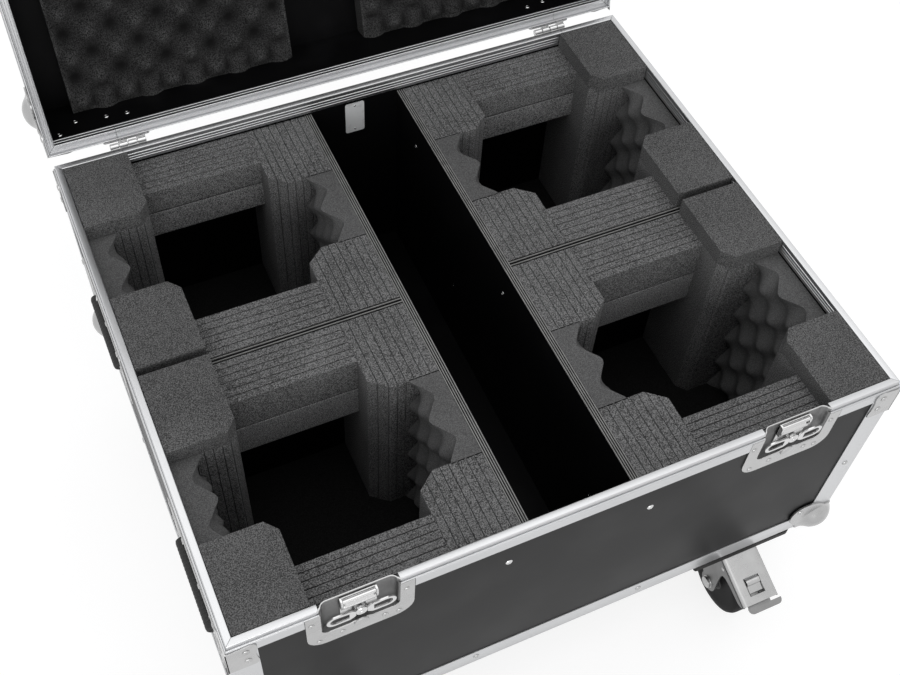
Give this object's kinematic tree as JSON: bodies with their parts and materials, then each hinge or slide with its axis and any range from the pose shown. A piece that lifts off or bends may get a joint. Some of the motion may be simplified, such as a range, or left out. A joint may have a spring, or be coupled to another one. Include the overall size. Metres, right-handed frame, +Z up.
{
  "type": "lighting flight case",
  "caption": "Black flight case on swivel casters with aluminium edges, foam nests for moving lights, a middle channel and a hinged lid.",
  "frame": {"origin": "on the floor, under the middle of the case body", "axes": "+Z up, +X to the right as seen from the latch side, +Y towards the hinges"},
  "size_m": [0.785, 0.9857, 1.0854],
  "materials": {
    "black_laminate_ply": "black phenolic laminate on plywood, satin",
    "aluminium": "bright mill finish extrusion",
    "steel": "zinc-plated pressed steel",
    "foam": "dark grey closed-cell foam, matt and grainy",
    "rubber_grip": "black rubber over a steel bail",
    "tyre": "dark elastic tread on a plastic hub",
    "label": "bare white plate"
  },
  "bodies": {
    "case": {"base_panel": "black_laminate_ply", "front_panel": "black_laminate_ply", "rear_panel": "black_laminate_ply", "left_panel": "black_laminate_ply", "right_panel": "black_laminate_ply", "partition_left": "black_laminate_ply", "partition_right": "black_laminate_ply", "label_plate": "label", "body_rim": "aluminium", "body_rim_front": "aluminium", "body_edge_frame": "aluminium", "ball_corner_front_left": "steel", "ball_corner_front_right": "steel", "ball_corner_rear_left": "steel", "ball_corner_rear_right": "steel", "foam_nest_front_left": "foam", "foam_nest_front_right": "foam", "foam_nest_rear_left": "foam", "foam_nest_rear_right": "foam", "hinge_leaf_body_left": "steel", "hinge_leaf_body_right": "steel", "handle_dish_front_left": "steel", "handle_dish_front_right": "steel", "handle_dish_rear_left": "steel", "handle_dish_rear_right": "steel", "latch_dish_body_left": "steel", "latch_dish_body_right": "steel", "caster_mount_front_left": "steel", "caster_mount_front_right": "steel", "caster_mount_rear_left": "steel", "caster_mount_rear_right": "steel"},
    "lid": {"lid_top_panel": "black_laminate_ply", "lid_walls": "black_laminate_ply", "lid_rim": "aluminium", "lid_rim_front": "aluminium", "lid_edge_frame": "aluminium", "lid_pad_left": "foam", "lid_pad_right": "foam", "hinge_leaf_lid_left": "steel", "hinge_leaf_lid_right": "steel", "latch_dish_lid_left": "steel", "latch_dish_lid_right": "steel"},
    "handle_front_left": {"handle_grip_front_left": "rubber_grip"},
    "handle_front_right": {"handle_grip_front_right": "rubber_grip"},
    "handle_rear_left": {"handle_grip_rear_left": "rubber_grip"},
    "handle_rear_right": {"handle_grip_rear_right": "rubber_grip"},
    "key_left": {"latch_key_left": "steel"},
    "hook_left": {"latch_hook_left": "steel"},
    "key_right": {"latch_key_right": "steel"},
    "hook_right": {"latch_hook_right": "steel"},
    "fork_front_left": {"caster_fork_front_left": "steel"},
    "wheel_front_left": {"caster_wheel_front_left": "tyre"},
    "pedal_front_left": {"brake_pedal_front_left": "steel"},
    "fork_front_right": {"caster_fork_front_right": "steel"},
    "wheel_front_right": {"caster_wheel_front_right": "tyre"},
    "pedal_front_right": {"brake_pedal_front_right": "steel"},
    "fork_rear_left": {"caster_fork_rear_left": "steel"},
    "wheel_rear_left": {"caster_wheel_rear_left": "tyre"},
    "fork_rear_right": {"caster_fork_rear_right": "steel"},
    "wheel_rear_right": {"caster_wheel_rear_right": "tyre"}
  },
  "joints": [
    {"name": "lid_hinge", "type": "hinge", "parent": "case", "child": "lid", "pos_m": [0, 0.3335, 0.443], "axis": [1, 0, 0], "range_deg": [0, 103]},
    {"name": "handle_swing_front_left", "type": "hinge", "parent": "case", "child": "handle_front_left", "pos_m": [-0.3735, -0.18, 0.331], "axis": [0, 1, 0], "range_deg": [0, 90], "stiffness_Nm_per_rad": 0.3, "springref_deg": -17.19},
    {"name": "handle_swing_front_right", "type": "hinge", "parent": "case", "child": "handle_front_right", "pos_m": [0.3735, -0.18, 0.331], "axis": [0, -1, 0], "range_deg": [0, 90], "stiffness_Nm_per_rad": 0.3, "springref_deg": -17.19},
    {"name": "handle_swing_rear_left", "type": "hinge", "parent": "case", "child": "handle_rear_left", "pos_m": [-0.3735, 0.18, 0.331], "axis": [0, 1, 0], "range_deg": [0, 90], "stiffness_Nm_per_rad": 0.3, "springref_deg": -17.19},
    {"name": "handle_swing_rear_right", "type": "hinge", "parent": "case", "child": "handle_rear_right", "pos_m": [0.3735, 0.18, 0.331], "axis": [0, -1, 0], "range_deg": [0, 90], "stiffness_Nm_per_rad": 0.3, "springref_deg": -17.19},
    {"name": "latch_turn_left", "type": "hinge", "parent": "case", "child": "key_left", "pos_m": [-0.247, -0.318, 0.419], "axis": [0, 1, 0], "range_deg": [0, 180]},
    {"name": "hook_slide_left", "type": "slide", "parent": "case", "child": "hook_left", "axis": [0, 0, 1], "range_m": [0, 0.009]},
    {"name": "latch_turn_right", "type": "hinge", "parent": "case", "child": "key_right", "pos_m": [0.247, -0.318, 0.419], "axis": [0, 1, 0], "range_deg": [0, 180]},
    {"name": "hook_slide_right", "type": "slide", "parent": "case", "child": "hook_right", "axis": [0, 0, 1], "range_m": [0, 0.009]},
    {"name": "swivel_front_left", "type": "hinge", "parent": "case", "child": "fork_front_left", "pos_m": [-0.264, -0.272, 0.122], "axis": [0, 0, 1], "continuous": true},
    {"name": "wheel_roll_front_left", "type": "hinge", "parent": "fork_front_left", "child": "wheel_front_left", "pos_m": [-0.264, -0.318, 0.05], "axis": [1, 0, 0], "continuous": true},
    {"name": "pedal_press_front_left", "type": "hinge", "parent": "fork_front_left", "child": "pedal_front_left", "pos_m": [-0.264, -0.328, 0.10575], "axis": [1, 0, 0], "range_deg": [0, 7.5]},
    {"name": "swivel_front_right", "type": "hinge", "parent": "case", "child": "fork_front_right", "pos_m": [0.264, -0.272, 0.122], "axis": [0, 0, 1], "continuous": true},
    {"name": "wheel_roll_front_right", "type": "hinge", "parent": "fork_front_right", "child": "wheel_front_right", "pos_m": [0.264, -0.318, 0.05], "axis": [1, 0, 0], "continuous": true},
    {"name": "pedal_press_front_right", "type": "hinge", "parent": "fork_front_right", "child": "pedal_front_right", "pos_m": [0.264, -0.328, 0.10575], "axis": [1, 0, 0], "range_deg": [0, 7.5]},
    {"name": "swivel_rear_left", "type": "hinge", "parent": "case", "child": "fork_rear_left", "pos_m": [-0.264, 0.272, 0.122], "axis": [0, 0, 1], "continuous": true},
    {"name": "wheel_roll_rear_left", "type": "hinge", "parent": "fork_rear_left", "child": "wheel_rear_left", "pos_m": [-0.264, 0.226, 0.05], "axis": [1, 0, 0], "continuous": true},
    {"name": "swivel_rear_right", "type": "hinge", "parent": "case", "child": "fork_rear_right", "pos_m": [0.264, 0.272, 0.122], "axis": [0, 0, 1], "continuous": true},
    {"name": "wheel_roll_rear_right", "type": "hinge", "parent": "fork_rear_right", "child": "wheel_rear_right", "pos_m": [0.264, 0.226, 0.05], "axis": [1, 0, 0], "continuous": true}
  ],
  "couplings": [
    {"joint": "latch_turn_left", "follows": "hook_slide_left", "rad_per_m": 345},
    {"joint": "latch_turn_right", "follows": "hook_slide_right", "rad_per_m": 345}
  ]
}
